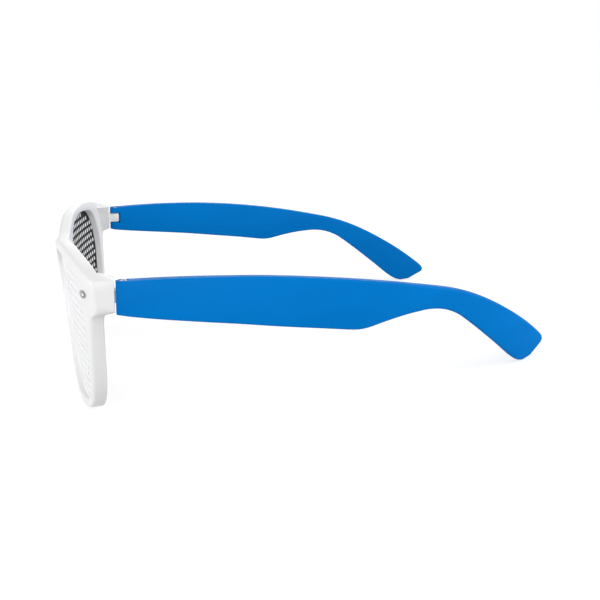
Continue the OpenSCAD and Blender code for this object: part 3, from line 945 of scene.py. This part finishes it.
# %% Blue moulded plastic
blue, tree, surface, place = new_finish("blue_moulded_plastic")
flow = cloud(tree, place, 9, 2.0, (1, 5, 1))
tint(tree, surface, flow, (0.0, 0.180, 0.575), (0.0, 0.200, 0.63))
roughen(tree, surface, cloud(tree, place, 4, 3.0), 0.38, 0.48)
grain = add(tree, cloud(tree, place, 0.3, 2.0), cloud(tree, place, 7, 1.0), 3.0)
bump(tree, surface, grain, 0.012, 0.5)
surface.inputs["Specular IOR Level"].default_value = 0.03
dress(left_arm, blue)
dress(right_arm, blue)
print("finish:", blue.name)

# %% [markdown]
# The lens plates are white, with a black coat on the side toward the eyes, so that stray light
# doesn't come back into them. The walls of the holes stay white. The coat is chosen by the
# direction in which a face points: what looks backward is black. The plates' outer faces are
# layers of their own, a little glossier.

# %% White lens plates with a black coat inside
coated, tree, surface, place = new_finish("coated_lens_plate")
facing = tree.nodes.new("ShaderNodeTexCoord")
parts = tree.nodes.new("ShaderNodeSeparateXYZ")
tree.links.new(facing.outputs["Normal"], parts.inputs[0])
coat = spread(tree, parts.outputs["Y"], 0, 1, start=0.45, end=0.55)
soot = spread(tree, cloud(tree, place, 1.2, 3.0), 0, 1)
black = blend_colours(tree, soot, (0.004, 0.004, 0.005), (0.009, 0.009, 0.01))
plate = blend_colours(tree, coat, (0.95, 0.95, 0.96), (0, 0, 0))
tree.links.new(black, plate.node.inputs["B"])
tree.links.new(plate, surface.inputs["Base Color"])
roughen(tree, surface, cloud(tree, place, 6, 2.0), 0.5, 0.64)
bump(tree, surface, cloud(tree, place, 0.25, 2.0), 0.01, 0.3)
surface.inputs["Specular IOR Level"].default_value = 0.12

skin, tree, surface, place = new_finish("white_lens_face")
tint(tree, surface, cloud(tree, place, 14, 2.0), (0.93, 0.93, 0.945), (0.955, 0.955, 0.965))
roughen(tree, surface, cloud(tree, place, 3, 2.0), 0.4, 0.5)
bump(tree, surface, cloud(tree, place, 0.3, 1.0), 0.006, 0.4)
surface.inputs["Specular IOR Level"].default_value = 0.3
for side in ("left", "right"):
    dress(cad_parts[side + "_lens"], coated)
    dress(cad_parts[side + "_lens_film"], skin)
print("finishes:", coated.name, skin.name)

# %% [markdown]
# Two metals remain. The studs are polished and a little uneven, and the screws are plain steel with
# the fine rings that turning leaves round their axis.

# %% Stud metal and screw steel
stud_metal, tree, surface, place = new_finish("polished_stud_metal")
surface.inputs["Metallic"].default_value = 1.0
tint(tree, surface, cloud(tree, place, 1.1, 2.0), (0.30, 0.30, 0.31), (0.42, 0.42, 0.43))
roughen(tree, surface, cloud(tree, place, 0.5, 2.0), 0.16, 0.3)
bump(tree, surface, cloud(tree, place, 0.6, 2.0), 0.01, 0.5)

steel, tree, surface, place = new_finish("turned_screw_steel")
surface.inputs["Metallic"].default_value = 1.0
tint(tree, surface, cloud(tree, place, 0.7, 2.0), (0.24, 0.24, 0.25), (0.34, 0.34, 0.35))
roughen(tree, surface, cloud(tree, place, 0.4, 2.0), 0.25, 0.4)
bump(tree, surface, cloud(tree, place, 0.12, 1.0, (8, 8, 1)), 0.006, 0.6)
for piece in (left_stud, right_stud):
    dress(piece, stud_metal)
for side in ("left", "right"):
    dress(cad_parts[side + "_hinge_screw"], steel)
print("finishes:", stud_metal.name, steel.name)

# %% [markdown]
# ## Floor, room and lamps
# The picture shows the glasses on plain white. A pale floor carries them, and to the camera it adds
# a glow of its own that brings it up to white, while its lit part still shows the soft shadow of
# the glasses. To all other rays it is plain grey.

# %% Floor
FLOOR_SIZE, FLOOR_LEVEL = 1.4, -0.00003  # in metres
FLOOR_LIT, FLOOR_GLOW, FLOOR_PLAIN = 0.42, 0.72, 0.6

start_clean()
bpy.ops.mesh.primitive_plane_add(size=FLOOR_SIZE, location=(0, 0, FLOOR_LEVEL))
floor = name_it("studio_floor")
bpy.ops.object.transform_apply(location=True, rotation=True, scale=True)
floor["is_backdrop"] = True
floor_finish = bpy.data.materials.new("pale_floor")
floor_finish.use_nodes = True
tree = floor_finish.node_tree
tree.nodes.clear()


def seen_directly(tree):
    """1 for rays from the camera, and for mirror and see-through rays."""
    path = tree.nodes.new("ShaderNodeLightPath")
    seen = path.outputs["Is Camera Ray"]
    for kind in ("Is Glossy Ray", "Is Transmission Ray"):
        either = tree.nodes.new("ShaderNodeMath")
        either.operation = "MAXIMUM"
        tree.links.new(seen, either.inputs[0])
        tree.links.new(path.outputs[kind], either.inputs[1])
        seen = either.outputs[0]
    return seen


def choose_by_ray(tree, other, direct, surface):
    """Shows the direct shader to the rays above and the other shader to the rest."""
    choose = tree.nodes.new("ShaderNodeMixShader")
    tree.links.new(seen_directly(tree), choose.inputs[0])
    tree.links.new(other.outputs[0], choose.inputs[1])
    tree.links.new(direct.outputs[0], choose.inputs[2])
    tree.links.new(choose.outputs[0], surface)


def shader(tree, kind, grey, strength=None):
    """A shader node in a neutral grey, with a strength if it gives light."""
    node = tree.nodes.new(kind)
    node.inputs["Color"].default_value = (grey, grey, grey, 1)
    if strength is not None:
        node.inputs["Strength"].default_value = strength
    return node


lit = shader(tree, "ShaderNodeBsdfDiffuse", FLOOR_LIT)
glow = shader(tree, "ShaderNodeEmission", 1, FLOOR_GLOW)
plain = shader(tree, "ShaderNodeBsdfDiffuse", FLOOR_PLAIN)
shown = tree.nodes.new("ShaderNodeAddShader")
tree.links.new(lit.outputs[0], shown.inputs[0])
tree.links.new(glow.outputs[0], shown.inputs[1])
out = tree.nodes.new("ShaderNodeOutputMaterial")
choose_by_ray(tree, plain, shown, out.inputs["Surface"])
dress(floor, floor_finish)
print("floor:", FLOOR_SIZE, "m wide")

# %% [markdown]
# The world is the room. It is white where it is seen, and its light on the glasses is weaker, so
# that the lamps can shape them.

# %% Room
ROOM_LIGHT = 0.42
scene = bpy.context.scene
scene.view_settings.view_transform = "Standard"
room = bpy.data.worlds.new("studio_room")
scene.world = room
room.use_nodes = True
tree = room.node_tree
tree.nodes.clear()
soft = shader(tree, "ShaderNodeBackground", 1, ROOM_LIGHT)
wall = shader(tree, "ShaderNodeBackground", 1, 1)
out = tree.nodes.new("ShaderNodeOutputWorld")
choose_by_ray(tree, soft, wall, out.inputs["Surface"])
print("room light:", ROOM_LIGHT)

# %% [markdown]
# Large lamps give the plastic its soft shading. One low lamp shines on the front of the glasses,
# one on the camera's side and one from behind on the arms and the rims' backs. Two weaker ones,
# above and on the far side, keep every view from turning dark.

# %% Soft lamps
LAMPS = (  # name, place in metres, power in watts, size in metres
    ("lamp_above", (0.1, 0.4, 1.0), 0.9, 0.9),
    ("lamp_front", (0.0, -0.95, 0.05), 5.9, 0.7),
    ("lamp_side", (1.4, -0.3, 0.4), 8.7, 0.9),
    ("lamp_far_side", (-1.0, 0.2, 0.5), 2.2, 0.8),
    ("lamp_back", (0.3, 1.05, 0.5), 6.2, 0.8),
)
LIT_SPOT = Vector((0, 0, 0.02))


def soft_lamp(name, spot, power, size):
    data = bpy.data.lights.new(name, "AREA")
    data.shape = "SQUARE"
    data.size = size
    data.energy = power
    lamp = bpy.data.objects.new(name, data)
    bpy.context.scene.collection.objects.link(lamp)
    lamp.location = spot
    lamp.rotation_euler = (LIT_SPOT - Vector(spot)).to_track_quat("-Z", "Y").to_euler()


for lamp in LAMPS:
    soft_lamp(*lamp)
print("lamps:", [name for name, spot, power, size in LAMPS])

# %% [markdown]
# At the end the box round the modelled glasses is measured.

# %% Box round the glasses, and the end
low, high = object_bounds()
